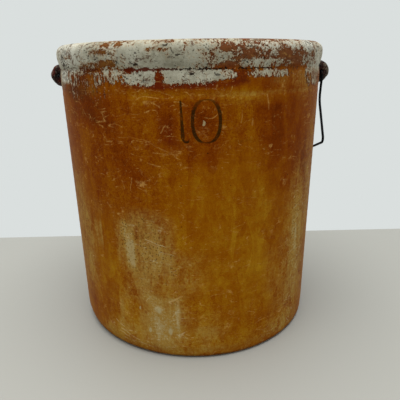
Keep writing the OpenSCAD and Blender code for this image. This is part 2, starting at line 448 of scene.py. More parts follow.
crockWiped = {
    # wiped nearly to the glaze, with straight edges
    "wiped": [
        (-15.6, 58, 9.2, 42, 0.14), (-21.2, 108, 2.4, 14, 0.1), (-12, 190, 5, 26, 0.06),
        (-14, 40, 3, 28, 0.06), (7, 30, 5, 22, 0.08), (24, 62, 3, 24, 0.06), (-35, 200, 2, 30, 0.06),
        (33, 120, 4, 40, 0.05), (-150, 90, 6, 50, 0.12), (160, 150, 5, 60, 0.12),
    ],
}
# each table with where its patches start to fade and where they end, in their half sizes
crockPatches = [(crockWear, 0.6, 1.3), (crockTone, 0.3, 1.3), (crockWiped, 0.9, 1.1)]


def wearField(patches, degrees, height, inner, outer):
    total = np.zeros_like(height)
    for azimuth, z, halfWidth, halfHeight, amount in patches:
        turn = (degrees - azimuth + 180) % 360 - 180
        reach = ((turn / halfWidth) ** 4 + ((height - z) / halfHeight) ** 4) ** 0.25
        total += amount * (1 - smoothStep(inner, outer, reach))
    return total


# uneven throwing and wear only ever take clay away, so the crock keeps its size
def crockDip(shape, onWall, radius, degrees, outside):
    height = onWall[:, 2]
    dip = shape["wobble"] * latticeNoise(onWall, shape["wobbleSize"], seed=3, layers=2)
    sway = 2 * latticeNoise(onWall, shape["lineWander"], seed=4, layers=2)
    dip += shape["turningLines"] * (1 + np.sin(height / shape["lineGap"] + sway))
    offLedge = np.abs(height - shape["ledgeHeight"])
    dip += shape["ledgeDepth"] * (1 - smoothStep(*shape["ledgeEdge"], offLedge))
    dip *= np.where(outside, smoothStep(0, shape["evenFoot"], height), 0)
    # the foot is worn rounder at the front left
    chipTurn, chipReach, chipDepth = shape["footChip"]
    away = np.abs((degrees - chipTurn + 180) % 360 - 180) / chipReach
    wear = shape["footWear"] + chipDepth * (1 - smoothStep(*shape["footChipEdge"], away))
    wear *= np.clip(1 - height / shape["footWearHeight"], 0, 1) ** 2
    return dip + np.where(radius > shape["footRadius"] - 2 * shape["footRounding"], wear, 0)


def crockMesh(shape, materials):
    section, zones = crockSection(shape)
    around, rows = shape["around"], len(section)
    angle = np.tile(np.arange(around) * 2 * math.pi / around, rows)
    radius, height = (np.repeat(section[:, i], around) for i in (0, 1))
    degrees = np.degrees((angle + math.pi) % (2 * math.pi) - math.pi)
    sideways = np.stack([np.sin(angle), -np.cos(angle), np.zeros_like(angle)], 1)
    outside = np.isin(np.repeat(np.array(zones), around), ("foot", "wall", "rim"))
    onWall = sideways * shape["wallRadius"]
    onWall[:, 2] = height
    dip = crockDip(shape, onWall, radius, degrees, outside)
    points = sideways * (radius - dip)[:, None]
    points[:, 2] = height
    points = np.vstack([points, [[0, 0, 0], [0, 0, shape["floorThickness"]]]]) * mm
    finishOf = {"under": 2, "foot": 0, "wall": 0, "rim": 0, "inside": 1}  # which of the materials
    faces = ringFaces(rows, around)
    finishes = [finishOf[zone] for zone in zones[1:] for _ in range(around)]
    # fans close the underside and the floor of the hollow
    underCenter, floorCenter, last = rows * around, rows * around + 1, (rows - 1) * around
    for i in range(around):
        j = (i + 1) % around
        faces += [(underCenter, j, i), (floorCenter, last + i, last + j)]
        finishes += [finishOf["under"], finishOf["inside"]]
    piece = newPiece("crock_body", points, faces, materials[0], "jar", "crock")
    for material in materials[1:]:
        piece.data.materials.append(material)
    piece.data.polygons.foreach_set("material_index", finishes)
    for table, inner, outer in crockPatches:
        for name, patches in table.items():
            values = np.append(wearField(patches, degrees, height, inner, outer), [0, 0])
            attribute = piece.data.attributes.new(name, "FLOAT", "POINT")
            attribute.data.foreach_set("value", values.astype(np.float32))
    return piece


# the number on the front: strokes in millimetres round the wall and up it
numberShape = {
    "zeroCenter": (17.2, 328), "zeroSize": (16.2, 24.4), "zeroSide": 4.1, "zeroTop": 1.5,
    "zeroSquareness": 2.3, "zeroTopFaint": 0.62,
    "oneTop": (-12.2, 352), "oneFoot": (-10.6, 309), "oneWidth": 3.9, "oneTaper": (0.3, 0.55),
    "hookRadius": 4.2, "hookWidth": 2.6, "hookReach": (2.0, 4.0), "softEdge": 0.4,
}


def numberInk(n, shape, acrossWall, upWall, ragged):
    soft = shape["softEdge"]
    (cx, cz), (rx, rz), power = shape["zeroCenter"], shape["zeroSize"], shape["zeroSquareness"]
    dx = n.times(n.minus(acrossWall, cx), 1 / rx)
    dz = n.times(n.minus(upWall, cz), 1 / rz)
    reach = n.add(n.math("POWER", n.size(dx), power), n.math("POWER", n.size(dz), power))
    reach = n.math("POWER", reach, 1 / power)
    side = n.math("DIVIDE", n.size(dx), n.most(reach, 0.01))
    half = n.step(side, 0.1, 1.0, shape["zeroTop"] / 2 / rz, shape["zeroSide"] / 2 / rx)
    zero = n.step(n.math("DIVIDE", n.size(n.minus(reach, 1.0)), half), 0.7, 1.25, 1.0, 0.0)
    zero = n.times(zero, n.step(dz, 0.5, 1.0, 1.0, shape["zeroTopFaint"]))
    # the one leans a little and swells towards its foot
    (tx, tz), (fx, fz) = shape["oneTop"], shape["oneFoot"]
    down = n.times(n.minus(tz, upWall), 1 / (tz - fz))
    off = n.size(n.minus(n.minus(acrossWall, tx), n.times(down, fx - tx)))
    half = n.step(down, 0.0, 1.0, *(share * shape["oneWidth"] for share in shape["oneTaper"]))
    stem = n.step(n.minus(n.add(off, ragged), half), -soft, soft, 1.0, 0.0)
    stem = n.times(stem, n.times(n.step(down, -0.02, 0.03), n.step(down, 1.0, 1.02, 1.0, 0.0)))
    # a short hook to the right at the foot of the one
    hx = n.minus(acrossWall, fx + shape["hookRadius"])
    hz = n.minus(upWall, fz)
    ring = n.math("SQRT", n.add(n.times(hx, hx), n.times(hz, hz)))
    ring = n.size(n.minus(ring, shape["hookRadius"]))
    half = shape["hookWidth"] / 2
    hook = n.step(n.add(ring, ragged), half - soft, half + soft, 1.0, 0.0)
    ends = n.times(n.step(hz, -0.5, 0.5, 1.0, 0.0), n.step(hx, *shape["hookReach"], 1.0, 0.0))
    hook = n.times(hook, ends)
    return n.most(zero, stem, hook)


# brown film over a pale glaze, worn through in places
filmLook = {
    "tones": [
        (0.0, paint(88, 31, 0)), (0.3, paint(118, 51, 0)), (0.62, paint(140, 79, 1)),
        (1.0, paint(164, 117, 18)),
    ],
    # deepBrown paints stains, and also the painted shade round the foot and under the rim's roll
    "deepBrown": paint(62, 24, 8), "redStain": paint(92, 24, 8),
    "rimLeft": paint(106, 68, 36), "rimRight": paint(110, 67, 41), "rimOchre": paint(122, 82, 34),
    "paleGlaze": paint(166, 132, 62), "rubbed": paint(176, 160, 118), "peck": paint(78, 46, 6),
    "scratch": paint(198, 152, 82), "cut": paint(212, 194, 152), "ink": paint(28, 22, 6),
    "flake": paint(179, 175, 156), "flakeShade": paint(144, 139, 120), "chalk": paint(212, 210, 197),
    # speck also paints the shade on the coat under the rim's roll
    "speck": paint(34, 22, 14), "seamDirt": paint(80, 24, 4), "crack": paint(78, 42, 22),
    "fringe": paint(74, 30, 13), "cream": paint(186, 160, 124), "crumb": paint(182, 146, 112),
    "gloss": 0.015, "dusting": 0.09, "dustingTint": paint(240, 200, 150), "dustingSpread": 0.3,
    "rough": (0.55, 0.7),  # of the film and of the coat
    "relief": (0.0005, 0.7),  # a bump's depth in metres, and its strength
    "markStrength": 0.62, "grooveHeight": 385.2,
    # metres across from the middle, and then metres up, where one finish gives way to the next
    "rimTurns": (-0.05, 0.05), "rimOchreEnds": (-0.05, 0.03), "crackedTo": (-0.08, -0.02),
    "dirtTurns": (-0.04, 0.0), "longDripsFrom": (0.088, 0.1), "wideDripsFrom": (0.138, 0.15),
    "pecksFrom": (0.07, 0.15), "flakesFrom": (0.376, 0.386), "rimFrom": (0.384, 0.392),
    # where the painted shade on the rim's lower roll begins
    "rimShadeFrom": (0.384, 0.39),
    # chips to the pale glaze: millimetres round the wall and up it, and their reach
    "chipSquat": 0.3, "chipRagged": 5.0,
    "chips": [(14.0, 326, 1.6), (-51, 75.4, 3.0), (-36, 44, 3.4), (-66, 42.4, 2.6), (-80, 75, 1.6)],
    # dark pits, the same way
    "pitSquat": 1.0, "pitRagged": 1.5,
    "pits": [
        (-14.6, 252, 0.9), (136.7, 251, 0.8), (146.6, 32.9, 1.0), (46.4, 250, 0.6), (-53.5, 374, 1.4),
        (85.6, 396, 1.6), (-60.1, 396.8, 1.1), (-141.5, 345, 0.7), (18.2, 291, 0.9), (-204.6, 222.7, 0.8),
        (-15.6, 199, 0.7),
    ],
    # runs of fine scratches: turn in radians, stretch, width, and how small their clumps are
    "runs": [
        (0.5, (16, 62, 1), 0.016, 52), (-0.9, (18, 70, 1), 0.016, 60), (1.5, (20, 60, 1), 0.015, 46),
        (2.3, (34, 90, 1), 0.02, 70),
    ],
    # curled wisps: how small, width and clumps
    "wisps": [(84, 0.024, 55), (150, 0.04, 80)],
    # single scratches: both ends in millimetres round the wall and up it, half width and amount
    "strokes": [
        ((-94, 308), (-58, 308), 0.45, 0.3), ((-58, 308), (-20, 288), 0.5, 0.42),
        ((-55, 280), (-40, 276.5), 1.0, 0.85), ((-93, 334), (-60, 337.5), 0.45, 0.34),
        ((-37, 315), (-30, 324), 0.7, 0.7), ((-115, 337), (-110, 325), 0.8, 0.6),
        ((-92, 255), (-89, 245), 0.6, 0.7), ((-77, 259), (-82, 243), 0.7, 0.7),
        ((-122, 221), (-116, 216), 1.2, 0.7), ((93, 355), (97, 338), 1.1, 0.8),
        ((74, 329), (72.5, 321), 0.9, 0.7), ((60, 339), (58.5, 325), 0.6, 0.6),
        ((-65, 178), (-42, 172), 0.6, 0.7), ((-62, 174.5), (-45, 170), 0.5, 0.6),
        ((-47, 164), (-25, 158), 0.5, 0.6), ((-38, 89), (-18, 99.5), 1.3, 0.7),
        ((-24, 92), (-23.5, 58), 2.6, 0.34), ((-118, 30), (-86, 21), 0.9, 0.8),
        ((-122, 25), (-93, 17), 0.7, 0.7), ((-128, 43), (-113, 34), 0.8, 0.7),
        ((-88, 18), (-60, 14), 0.7, 0.6),
    ],
}


# noises that the layers of the film share, from wide to fine, and two sorts of wiped patches
def filmNoises(n, at):
    return {
        "blotch": n.noise(n.stretch(at, (1, 1, 0.6)), 11, 5, 0.6),
        "cloud": n.noise(n.stretch(at, (1, 1, 0.55)), 24, 6, 0.65, 0.4),
        "streak": n.noise(n.stretch(at, (1, 1, 0.22)), 46, 5, 0.6, 0.6),
        "mottle": n.noise(at, 60, 6, 0.7),
        "torn": n.noise(at, 95, 4, 0.6),
        "fine": n.noise(n.stretch(at, (1, 1, 0.3)), 220, 5, 0.65),
        "grain": n.noise(at, 300, 5, 0.7),
        "pit": n.noise(at, 400, 3, 0.65),
        "dust": n.noise(at, 900, 3, 0.7),
        "wipe": n.patches(n.wander(n.stretch(at, (1, 1, 0.45)), 60, 0.016), 34),
        "smear": n.patches(n.wander(n.stretch(at, (1, 1, 0.5)), 160, 0.008), 95),
    }


# red-brown to ochre, with stains, and duller on the rim; deep brown also paints a contact shadow round the
# foot and shade under the rim's roll
def bareFilm(n, look, x, z):
    lively = n.step(n.add(n.field("scuffAndSheen"), n.field("marked")), 0.0, 0.6, 0.7, 1.6)
    tone = n.sway(n.field("ochre"), blotch=0.42, cloud=0.5, mottle=0.38, streak=0.42, fine=0.28)
    tone = n.sway(tone, wipe=0.16, smear=0.12)
    tone = n.add(tone, n.times(n.sway(grain=0.5, dust=0.7), lively), 0.42)
    film = n.ramp(tone, look["tones"])
    red = n.sway(n.field("red"), mottle=0.9, grain=1.2)
    film = n.mix(n.step(red, 0.2, 0.75, 0.0, 0.8), film, look["redStain"])
    rim = n.mix(n.step(x, *look["rimTurns"]), look["rimLeft"], look["rimRight"])
    ochre = n.times(n.step(n.noises["torn"], 0.44, 0.6), n.step(x, *look["rimOchreEnds"], 0.65, 0.1))
    rim = n.mix(ochre, rim, look["rimOchre"])
    rim = n.mix(n.step(n.noises["grain"], 0.5, 0.66, 0.0, 0.45), rim, look["speck"])
    film = n.mix(n.step(z, *look["rimFrom"], 0.0, 0.85), film, rim)
    # stains, and painted shade: the contact shadow round the foot and the shade under the rim's roll
    depth = n.sway(n.field("dark"), mottle=0.7, grain=0.8, cloud=0.5)
    return n.mix(n.step(depth, 0.16, 0.75, 0.0, 0.85), film, look["deepBrown"])


# glaze showing where the film has been rubbed, and near the edges partly a painted grazing reflection, with
# dark pecks left between
def rubbedGlaze(n, look, film, at, z):
    uneven = n.times(n.sway(smear=0.5, wipe=0.5), n.field("scuffAndSheen"))
    scuffAndSheen = n.add(n.field("scuffAndSheen"), n.field("rub"), n.field("wiped"), uneven)
    gate = n.step(scuffAndSheen, 0.0, 0.3)
    thin = n.add(scuffAndSheen, n.times(n.sway(fine=0.5, grain=0.8, torn=0.5), gate))
    skin = n.mix(n.step(thin, 0.0, 0.75, 0.0, 0.8), film, look["paleGlaze"])
    bare = n.add(n.times(scuffAndSheen, 0.85), n.times(n.sway(fine=0.9, grain=1.5, dust=1.2), gate))
    worn = n.step(bare, 0.6, 0.95, 0.0, 0.55)
    skin = n.mix(worn, skin, look["rubbed"])
    pecks = n.dots(at, 480, 0.6, 0.1, 0.5, n.sway(dust=0.7))
    pecks = n.times(pecks, n.step(n.sway(scuffAndSheen, mottle=1.2), 0.2, 0.6))
    pecks = n.times(pecks, n.minus(n.step(z, *look["pecksFrom"], 0.2, 0.75), n.times(worn, 0.8)))
    return n.mix(pecks, skin, look["peck"]), worn


# fine scratches in several directions, nicks, wisps and single strokes
def scratches(n, look, at, sheet):
    marks = n.times(n.dots(at, 130, 0.12, 0.02, 0.12, n.sway(grain=0.3)), 0.8)
    marks = n.most(marks, n.times(n.dots(at, 300, 0.1, 0.04, 0.24, n.sway(dust=0.4)), 0.6))
    for turn, scale, width, clump in look["runs"]:
        line = n.hairline(n.noise(n.stretch(sheet, scale, (0, 0, turn)), 1, 1, 0.5), width)
        kept = n.step(n.noise(n.stretch(at, (1, 1, 1), move=(turn, 3, 1)), clump, 5, 0.7), 0.53, 0.62)
        nick = n.stretch(sheet, (0.22, 1, 1), (0, 0, 1.3 * turn))
        nick = n.dots(nick, 170, 0.05, 0.02, 0.12, n.sway(dust=0.3))
        marks = n.most(marks, n.times(line, kept), n.times(nick, 0.8))
    for scale, width, clump in look["wisps"]:
        wisp = n.hairline(n.noise(n.stretch(at, (1, 1, 0.8)), scale, 2, 0.5, 0.5), width)
        wisp = n.times(wisp, n.step(n.noise(at, clump, 5, 0.7), 0.55, 0.64))
        marks = n.most(marks, n.times(wisp, 0.42))
    spread = n.add(n.noise(at, 34, 3, 0.6), n.times(n.field("marked"), 0.25))
    marks = n.times(marks, n.step(spread, 0.4, 0.66, 0.12, 1.0))
    wavy = n.wander(sheet, 60, 0.006)
    cuts = 0.0
    for start, end, half, amount in look["strokes"]:
        cuts = n.most(cuts, n.stroke(wavy, start, end, half, amount, n.sway(grain=3.5)))
    broken = n.step(n.sway(n.noises["mottle"], grain=0.8), 0.38, 0.66, 0.15, 0.95)
    return n.times(marks, broken), n.times(cuts, n.step(broken, 0.1, 0.8, 0.25, 1.0))


# how far the pale coat reaches: ragged flakes on the rim, drips below the groove
def coatReach(n, look, pale, at, x, z):
    flakes = n.noise(at, 360, 5, 0.7, 0.2)
    shortDrips = n.noise(n.stretch(at, (1, 1, 0.6)), 340, 5, 0.68)
    longDrips = n.noise(n.stretch(at, (1, 1, 0.22)), 300, 5, 0.68)
    wideDrips = n.noise(n.stretch(at, (1, 1, 0.5)), 170, 6, 0.68)
    drips = n.blend(n.step(n.size(x), *look["longDripsFrom"]), shortDrips, longDrips)
    drips = n.blend(n.step(n.size(x), *look["wideDripsFrom"]), drips, wideDrips)
    ragged = n.about(n.blend(n.step(z, *look["flakesFrom"]), drips, flakes), 3.3)
    tears = n.times(n.sway(torn=2.2), n.step(z, *look["flakesFrom"], 0.5, 1.0))
    ragged = n.sway(ragged, tears, dust=1.0)
    return n.add(pale, n.times(ragged, n.step(pale, 0.0, 0.25)))


# the coat's own surface: chalky and cracked, with nicks and pits in clumps, and painted shade on the rim's
# lower roll
def coatCrust(n, look, pale, coat, at, sheet, x, z):
    mottle = n.noises["mottle"]
    crust = n.step(n.sway(mottle, grain=0.6, dust=0.4), 0.28, 0.72)
    crust = n.mix(crust, look["flakeShade"], look["flake"])
    chalky = n.times(n.field("chalk"), n.step(mottle, 0.3, 0.7, 0.5, 1.0))
    crust = n.mix(chalky, crust, look["chalk"])
    # cracks, wider and more of them on the left
    crack = n.noise(n.stretch(at, (1, 1, 1.8)), 75, 4, 0.65, 0.4)
    crack = n.hairline(crack, n.step(x, *look["crackedTo"], 0.048, 0.034))
    kept = n.add(n.noise(at, 62, 4, 0.65), n.step(x, *look["crackedTo"], 0.035, 0.0))
    crack = n.times(crack, n.step(kept, 0.5, 0.58))
    crust = n.mix(n.times(crack, 0.8), crust, look["crack"])
    # painted shade: the coat on the rim's lower roll, which faces down, is darkened with the speck colour
    # where the dark field reaches
    shade = n.times(n.field("dark"), n.step(z, *look["rimShadeFrom"], 0.0, 0.45))
    crust = n.mix(shade, crust, look["speck"])
    clump = n.step(n.noise(at, 38, 4, 0.6), 0.47, 0.56, 0.06, 1.0)
    pit = n.step(n.sway(n.noises["pit"], torn=0.5, cloud=0.7), 0.63, 0.67)
    nick = n.stretch(n.wander(sheet, 90, 0.004), (0.4, 1, 1), (0, 0, -0.5))
    nick = n.times(n.dots(nick, 180, 0.42, 0.04, 0.27, n.sway(dust=0.3)), clump)
    tick = n.dots(n.stretch(sheet, (0.5, 1, 1), (0, 0, 0.7)), 270, 0.4, 0.06, 0.3, n.sway(dust=0.4))
    tick = n.times(n.times(tick, clump), n.step(mottle, 0.42, 0.56))
    speck = n.dots(at, 190, 0.2, 0.04, 0.2, n.sway(grain=0.4))
    speck = n.times(speck, n.step(clump, 0.0, 1.0, 0.3, 1.0))
    speck = n.most(speck, nick, tick, n.times(pit, 0.95))
    crust = n.mix(n.times(speck, 0.95), crust, look["speck"])
    # creamier where it thins
    crust = n.mix(n.step(coat, 0.5, 0.85, 0.7, 0.0), crust, look["cream"])
    crust = n.mix(n.step(pale, 0.1, 0.36, 0.7, 0.0), crust, look["crumb"])
    return crust, speck


# the flaking pale coat over the film, with a stained fringe and crumbs at its edge
def paleCoat(n, look, skin, at, sheet, x, z):
    pale = n.field("pale")
    coat = coatReach(n, look, pale, at, x, z)
    flake = n.step(coat, 0.45, 0.55)
    stain = n.times(n.step(coat, 0.05, 0.42, 0.0, 0.85), n.step(pale, 0.05, 0.3))
    skin = n.mix(stain, skin, look["fringe"])
    edge = n.times(n.step(coat, 0.2, 0.4), n.step(n.sway(n.noises["pit"], torn=0.6), 0.48, 0.56))
    skin = n.mix(n.times(edge, 0.6), skin, look["speck"])
    crumbs = n.dots(at, 400, 0.34, 0.1, 0.34, n.sway(grain=0.5))
    skin = n.mix(n.times(crumbs, n.step(pale, 0.04, 0.18, 0.0, 0.6)), skin, look["crumb"])
    crust, speck = coatCrust(n, look, pale, coat, at, sheet, x, z)
    return n.mix(flake, skin, crust), flake, speck


# dirt in the groove under the rim: a broken line, thicker where there is more of it
def grooveDirt(n, look, upWall):
    away = n.size(n.minus(upWall, n.sway(look["grooveHeight"], torn=6.0)))
    held = n.sway(n.field("seam"), pit=3.2, torn=1.4)
    return n.step(n.minus(held, n.times(away, 0.45)), 0.26, 0.36, 0.0, 0.95)


# one ragged fleck at a place on the wall
def fleck(n, across, upWall, fleckAcross, fleckUp, reach, squat, ragged):
    dx, dz = n.minus(across, fleckAcross), n.minus(upWall, fleckUp)
    away = n.math("SQRT", n.add(n.times(dx, dx), n.times(n.times(dz, dz), squat)))
    return n.step(n.add(away, ragged), reach * 0.6, reach * 1.1, 0.75, 0.0)


def filmMaterial(look):
    n = Nodes("worn_brown_film")
    at = n.place()
    x, y, z = n.make("SeparateXYZ", Vector=at).outputs
    # the wall laid flat, in millimetres and as a sheet in metres
    across = n.times(n.math("ARCTAN2", x, n.times(y, -1.0)), crockShape["wallRadius"])
    upWall = n.times(z, 1 / mm)
    sheet = n.make("CombineXYZ", X=n.times(across, mm), Y=z).outputs[0]
    n.noises = filmNoises(n, at)
    grain = n.noises["grain"]
    skin, worn = rubbedGlaze(n, look, bareFilm(n, look, x, z), at, z)
    marks, cuts = scratches(n, look, at, sheet)
    scored = n.mix(n.step(n.field("scuffAndSheen"), 0.15, 0.5), look["scratch"], look["cut"])
    for lines in (marks, cuts):
        skin = n.mix(n.times(lines, look["markStrength"]), skin, scored)
    ink = numberInk(n, numberShape, across, upWall, n.sway(grain=1.6))
    faded = n.step(n.sway(grain, mottle=0.8), 0.25, 0.5, 0.3, 0.85)
    skin = n.mix(n.times(ink, faded), skin, look["ink"])
    for chip in look["chips"]:
        bare = fleck(n, across, upWall, *chip, look["chipSquat"], n.sway(grain=look["chipRagged"]))
        skin = n.mix(bare, skin, look["rubbed"])
    skin, flake, speck = paleCoat(n, look, skin, at, sheet, x, z)
    for pit in look["pits"]:
        hole = fleck(n, across, upWall, *pit, look["pitSquat"], n.sway(grain=look["pitRagged"]))
        skin = n.mix(hole, skin, look["ink"])
    dirt = grooveDirt(n, look, upWall)
    skin = n.mix(dirt, skin, n.mix(n.step(x, *look["dirtTurns"]), look["seamDirt"], look["speck"]))
    rough = n.sway(n.step(flake, 0.0, 1.0, *look["rough"]), n.times(worn, 0.1), grain=0.14)
    height = n.add(n.times(flake, 0.7), n.times(grain, 0.3), n.times(marks, -0.25), n.times(speck, -0.3),
                   n.times(dirt, -0.5), n.times(n.noises["mottle"], 0.4))
    return n.finish(Base_Color=skin, Roughness=rough, Specular_IOR_Level=look["gloss"],
                    Sheen_Weight=look["dusting"], Sheen_Tint=look["dustingTint"],
                    Sheen_Roughness=look["dustingSpread"], Normal=n.bump(height, *look["relief"]))


insideLook = {
    "glaze": paint(176, 170, 146), "stain": paint(112, 82, 46), "tide": paint(140, 118, 82),
    "stainTop": (0.02, 0.12), "rough": (0.22, 0.4), "relief": (0.0006, 0.5),
}


def insideMaterial(look):
    n = Nodes("pale_inside_glaze")
    at = n.place()
    mottle, grain = n.noise(at, 30, 6, 0.65), n.noise(at, 260, 5, 0.7)
    drip = n.noise(n.stretch(at, (1, 1, 0.1)), 44, 5, 0.6)
    z = n.make("SeparateXYZ", Vector=at).outputs[2]
    tide = n.step(n.add(mottle, n.about(drip, 0.8)), 0.45, 0.8, 0.0, 0.7)
    skin = n.mix(tide, look["glaze"], look["tide"])
    low = n.step(n.add(z, n.about(mottle, 0.08)), *look["stainTop"], 0.7, 0.0)
    skin = n.mix(low, skin, look["stain"])
    pits = n.dots(at, 130, 0.16, 0.03, 0.16, n.about(grain, 0.2))
    skin = n.mix(n.times(pits, 0.8), skin, look["stain"])
    height = n.add(mottle, n.times(grain, 0.2), n.times(pits, -0.4))
    return n.finish(Base_Color=skin, Roughness=n.step(grain, 0.2, 0.8, *look["rough"]),
                    Normal=n.bump(height, *look["relief"]))


clayLook = {
    "clay": paint(158, 128, 94), "scorch": paint(104, 76, 50), "grit": paint(60, 46, 34),
    "rough": (0.75, 0.92), "relief": (0.0006, 0.7),
}


def clayMaterial(look):
    n = Nodes("bare_clay")
    at = n.place()
    mottle, grain = n.noise(at, 26, 6, 0.65), n.noise(at, 420, 5, 0.75)
    skin = n.mix(n.step(mottle, 0.4, 0.72), look["clay"], look["scorch"])
    skin = n.mix(n.step(grain, 0.6, 0.72, 0.0, 0.7), skin, look["grit"])
    return n.finish(Base_Color=skin, Roughness=n.step(grain, 0.2, 0.8, *look["rough"]),
                    Normal=n.bump(grain, *look["relief"]))


crock = crockMesh(crockShape, [filmMaterial(filmLook), insideMaterial(insideLook), clayMaterial(clayLook)])
print("crock:", len(crock.data.vertices), "points")

# ears: a rounded loaf of clay with a smeared skirt, luted to the wall and bored along its length
earShape = {
    "length": 42, "radius": 16, "endRounding": 9, "standOff": 2, "boreOff": 5, "boreRadius": 2.9,
    "height": 377, "skirt": (1.7, 25, 19.5), "skirtArc": 88, "voxel": 0.75, "smoothing": 8,
    "lastSmoothing": 2, "lumps": 0.9, "lumpSize": 9, "lumpEdge": (0.35, 0.75), "sink": 0.4,
    "around": 72, "arcStep": 0.8, "skirtStep": 0.06, "boreSides": 48,
    # the crock's outside from this height up, less the last rows inside the rim, cuts the ear's seat
    "seatSides": 256, "seatFrom": 300, "seatTrim": 8,
}
earLook = {
    "glaze": paint(40, 16, 10), "black": paint(14, 6, 4), "red": paint(84, 22, 12),
    # dust is also the painted highlight on the ears' outer sides
    "dust": paint(126, 116, 98), "dustAndHighlightEdge": (0.194, 0.2075), "sides": (-0.1, 0.1),
    "gloss": 0.06, "rough": (0.3, 0.45), "relief": (0.0008, 0.6),
}


def latheMesh(name, section, around):
    points = []
    for radius, height in section:
        for i in range(around):
            angle = 2 * math.pi * i / around
            points.append((radius * math.cos(angle), radius * math.sin(angle), height))
    mesh = bpy.data.meshes.new(name)
    mesh.from_pydata(points, [], ringFaces(len(section), around, closed=True))
    return newObject(name, mesh)


def applied(piece, kind, **settings):
    modifier = piece.modifiers.new(kind, kind)
    for name, value in settings.items():
        setattr(modifier, name, value)
    graph = bpy.context.evaluated_depsgraph_get()
    mesh = bpy.data.meshes.new_from_object(piece.evaluated_get(graph))
    piece.modifiers.clear()
    piece.data = mesh


def earMesh(name, node, side, shape, material):
    s = shape
    half, rounding = s["length"] / 2, s["endRounding"]
    inner = s["radius"] - rounding

    def beside(off):
        return Matrix.Translation((side * (crockShape["wallRadius"] + off), 0, s["height"]))

    section = arcPoints((inner, rounding - half), rounding, -90, 0, s["arcStep"])
    section += arcPoints((inner, half - rounding), rounding, 0, 90, s["arcStep"])
    along = Matrix.Rotation(math.radians(90), 4, "X")
    loaf = latheMesh(name, section, s["around"])
    loaf.data.transform(beside(s["standOff"]) @ along)
    bulge = arcPoints((0, 0), 1, -s["skirtArc"], s["skirtArc"], s["skirtStep"])
    skirt = latheMesh("skirt", bulge, s["around"])
    skirt.data.transform(beside(0) @ Matrix.Diagonal((*s["skirt"], 1)))
    drill = [(s["boreRadius"], -s["length"]), (s["boreRadius"], s["length"])]
    bore = latheMesh("bore", drill, s["boreSides"])
    bore.data.transform(beside(s["boreOff"]) @ along)
    rows = [row for row, zone in zip(*crockSection(crockShape)) if zone in ("wall", "rim")]
    seat = [(r - s["sink"], z) for r, z in rows if z > s["seatFrom"]]
    core = latheMesh("core", seat[:-s["seatTrim"]], s["seatSides"])
    applied(loaf, "BOOLEAN", operation="UNION", object=skirt)
    applied(loaf, "REMESH", mode="VOXEL", voxel_size=s["voxel"])
    applied(loaf, "SMOOTH", factor=0.5, iterations=s["smoothing"])
    applied(loaf, "BOOLEAN", operation="DIFFERENCE", object=bore)
    applied(loaf, "BOOLEAN", operation="DIFFERENCE", object=core)
    applied(loaf, "REMESH", mode="VOXEL", voxel_size=s["voxel"])
    applied(loaf, "SMOOTH", factor=0.5, iterations=s["lastSmoothing"])
    for blank in (skirt, bore, core):
        bpy.data.objects.remove(blank)
    count = len(loaf.data.vertices)
    points, normals = np.empty(3 * count), np.empty(3 * count)
    loaf.data.vertices.foreach_get("co", points)
    loaf.data.vertices.foreach_get("normal", normals)
    points, normals = points.reshape(-1, 3), normals.reshape(-1, 3)
    hollow = smoothStep(*s["lumpEdge"], latticeNoise(points, s["lumpSize"], seed=11, layers=2))
    points -= normals * (s["lumps"] * hollow)[:, None]
    faces = [tuple(face.vertices) for face in loaf.data.polygons]
    bpy.data.objects.remove(loaf)
    return newPiece(name, points * mm, faces, material, "jar", node)


def earMaterial(look):
    n = Nodes("dark_ear_glaze")
    at = n.place()
    mottle, grain = n.noise(at, 160, 5, 0.65), n.noise(at, 700, 4, 0.7)
    skin = n.mix(n.step(mottle, 0.42, 0.6), look["glaze"], look["black"])
    # redder on the left ear; worn and dusty on the outermost side of both, with a painted highlight there,
    # more on the right ear
    x = n.make("SeparateXYZ", Vector=at).outputs[0]
    red = n.step(n.noise(at, 90, 3, 0.6), 0.5, 0.64)
    skin = n.mix(n.times(red, n.step(x, *look["sides"], 0.8, 0.25)), skin, look["red"])
    # partly dust and partly a painted highlight: the outermost side of each ear is greyed with the dust
    # colour
    outer = n.step(n.size(x), *look["dustAndHighlightEdge"], 0.06, n.step(x, *look["sides"], 0.14, 0.24))
    dust = n.step(n.add(n.noise(at, 240, 6, 0.75), n.about(grain, 0.5), outer), 0.6, 0.78, 0.0, 0.6)
    skin = n.mix(dust, skin, look["dust"])
    rough = n.add(n.step(grain, 0.2, 0.8, *look["rough"]), n.times(dust, 0.4))
    height = n.add(mottle, n.times(grain, 0.3))
    return n.finish(Base_Color=skin, Roughness=rough, Specular_IOR_Level=look["gloss"],
                    Normal=n.bump(height, *look["relief"]))


earGlaze = earMaterial(earLook)
for name, node, side in (("left_ear_clay", "left_ear", -1), ("right_ear_clay", "right_ear", 1)):
    ear = earMesh(name, node, side, earShape, earGlaze)
    print(name + ":", len(ear.data.vertices), "points")

# the bail: corners of the wire below the bore and the bend radius at each, from the lowest up one leg
bailShape = {
    "wire": 3.8, "standOff": 5, "pivotHeight": 376.6, "lowest": (0, -116.5), "lowestBend": 12,
    "leg": [((54.5, -99), 7), ((19, -40), 28), ((25.3, 0), 4), ((6, 0), 0)],
    "step": 1.6, "sides": 14, "unevenness": 0.12, "unevenSize": 4,
}
bailLook = {
    "iron": paint(15, 18, 17), "scale": paint(6, 8, 8), "rust": paint(46, 26, 16),
    "gloss": 0.06, "rough": (0.5, 0.65), "relief": (0.0003, 0.7),
}


